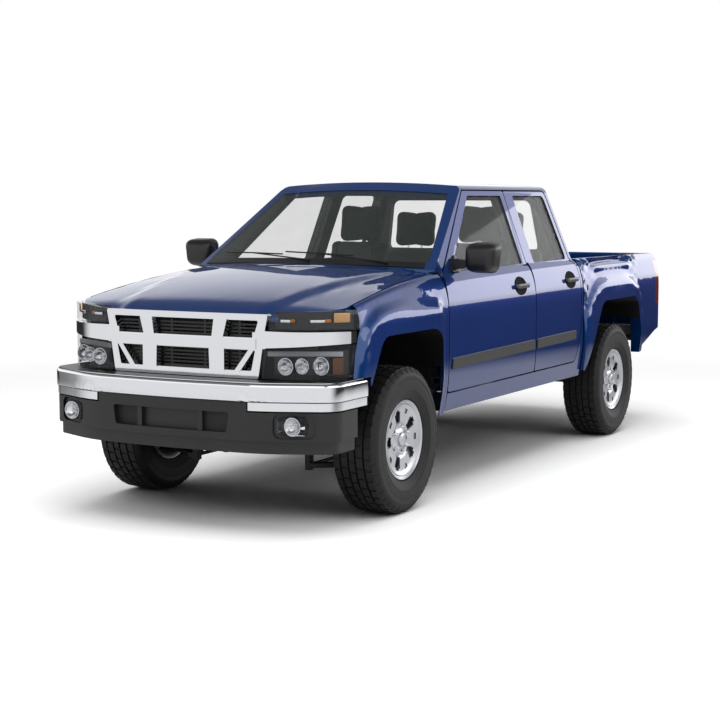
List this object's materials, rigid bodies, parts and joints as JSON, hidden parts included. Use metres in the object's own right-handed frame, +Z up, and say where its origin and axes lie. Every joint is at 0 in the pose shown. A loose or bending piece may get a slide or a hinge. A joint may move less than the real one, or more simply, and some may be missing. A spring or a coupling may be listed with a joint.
{
  "type": "pickup truck",
  "caption": "Crew-cab pickup truck on a ladder frame, with opening doors, hood and tailgate, steered front wheels and an open load bed",
  "frame": {"origin": "on the ground under the middle of the truck's overall box", "axes": "+Z up, front of the truck toward -Y, +X is the driver's (left) side"},
  "size_m": [2.0046, 5.2493, 1.728],
  "materials": {
    "paint": "deep blue metallic body paint under clear coat",
    "glass": "clear window glass with a light green tint",
    "chrome": "bright chrome plating",
    "black_plastic": "moulded black plastic",
    "dark_plastic": "grained dark grey plastic",
    "trim_plastic": "soft grey interior plastic",
    "seat_cloth": "grey woven seat cloth",
    "lamp_lens": "clear lamp lens over a bright reflector",
    "frame_steel": "black chassis paint",
    "cast_iron": "bare casting",
    "engine_alloy": "cast aluminium",
    "exhaust_steel": "dull exhaust steel",
    "tyre": "black tyre rubber",
    "alloy": "machined and lacquered alloy"
  },
  "bodies": {
    "chassis": {"cab_shell": "paint", "cab_glass": "glass", "fenders": "paint", "front_structure": "black_plastic", "bed": "paint", "grille_surround": "chrome", "grille_insert": "black_plastic", "lamps": "lamp_lens", "front_bumper": "chrome", "front_fascia": "dark_plastic", "frame": "frame_steel", "rear_axle": "cast_iron", "front_suspension": "frame_steel", "powertrain": "engine_alloy", "exhaust": "exhaust_steel", "fuel_tank": "black_plastic", "spare_wheel": "tyre", "dashboard": "trim_plastic", "seats": "seat_cloth", "cowl": "black_plastic", "rear_bumper": "chrome"},
    "hood": {"hood": "paint"},
    "tailgate": {"tailgate": "paint"},
    "knuckle_left": {"knuckle_left": "cast_iron"},
    "knuckle_right": {"knuckle_right": "cast_iron"},
    "steering_wheel": {"steering_wheel": "black_plastic"},
    "wheel_front_left": {"tyre_front_left": "tyre", "rim_front_left": "alloy"},
    "door_body_front_left": {"door_front_left": "paint", "door_glass_front_left": "glass", "trim_front_left": "dark_plastic"},
    "wheel_front_right": {"tyre_front_right": "tyre", "rim_front_right": "alloy"},
    "door_body_front_right": {"door_front_right": "paint", "door_glass_front_right": "glass", "trim_front_right": "dark_plastic"},
    "wheel_rear_left": {"tyre_rear_left": "tyre", "rim_rear_left": "alloy"},
    "door_body_rear_left": {"door_rear_left": "paint", "door_glass_rear_left": "glass", "trim_rear_left": "dark_plastic"},
    "wheel_rear_right": {"tyre_rear_right": "tyre", "rim_rear_right": "alloy"},
    "door_body_rear_right": {"door_rear_right": "paint", "door_glass_rear_right": "glass", "trim_rear_right": "dark_plastic"}
  },
  "joints": [
    {"name": "hood_hinge", "type": "hinge", "parent": "chassis", "child": "hood", "pos_m": [0, -1.3, 1.213], "axis": [-1, 0, 0], "range_deg": [0, 38]},
    {"name": "tailgate_hinge", "type": "hinge", "parent": "chassis", "child": "tailgate", "pos_m": [0, 2.47, 0.778], "axis": [-1, 0, 0], "range_deg": [0, 90]},
    {"name": "door_front_left_hinge", "type": "hinge", "parent": "chassis", "child": "door_body_front_left", "pos_m": [0.81, -1.18, 0.785], "axis": [0, 0, -1], "range_deg": [0, 65]},
    {"name": "door_front_right_hinge", "type": "hinge", "parent": "chassis", "child": "door_body_front_right", "pos_m": [-0.81, -1.18, 0.785], "axis": [0, 0, 1], "range_deg": [0, 65]},
    {"name": "door_rear_left_hinge", "type": "hinge", "parent": "chassis", "child": "door_body_rear_left", "pos_m": [0.81, 0.069, 0.785], "axis": [0, 0, -1], "range_deg": [0, 65]},
    {"name": "door_rear_right_hinge", "type": "hinge", "parent": "chassis", "child": "door_body_rear_right", "pos_m": [-0.81, 0.069, 0.785], "axis": [0, 0, 1], "range_deg": [0, 65]},
    {"name": "steering_wheel_turn", "type": "hinge", "parent": "chassis", "child": "steering_wheel", "pos_m": [0.365, -0.635, 1.06], "axis": [0, 0.8988, 0.4384], "range_deg": [-480, 480]},
    {"name": "steer_left", "type": "hinge", "parent": "chassis", "child": "knuckle_left", "pos_m": [0.69, -1.69, 0.385], "axis": [0, 0, 1], "range_deg": [-30, 30]},
    {"name": "steer_right", "type": "hinge", "parent": "chassis", "child": "knuckle_right", "pos_m": [-0.69, -1.69, 0.385], "axis": [0, 0, 1], "range_deg": [-30, 30]},
    {"name": "wheel_front_left_spin", "type": "hinge", "parent": "knuckle_left", "child": "wheel_front_left", "pos_m": [0.733, -1.69, 0.385], "axis": [1, 0, 0], "continuous": true},
    {"name": "wheel_front_right_spin", "type": "hinge", "parent": "knuckle_right", "child": "wheel_front_right", "pos_m": [-0.733, -1.69, 0.385], "axis": [1, 0, 0], "continuous": true},
    {"name": "wheel_rear_left_spin", "type": "hinge", "parent": "chassis", "child": "wheel_rear_left", "pos_m": [0.733, 1.51, 0.385], "axis": [1, 0, 0], "continuous": true},
    {"name": "wheel_rear_right_spin", "type": "hinge", "parent": "chassis", "child": "wheel_rear_right", "pos_m": [-0.733, 1.51, 0.385], "axis": [1, 0, 0], "continuous": true}
  ],
  "couplings": [
    {"joint": "steer_right", "follows": "steer_left", "ratio": 1},
    {"joint": "steering_wheel_turn", "follows": "steer_left", "ratio": 16}
  ]
}
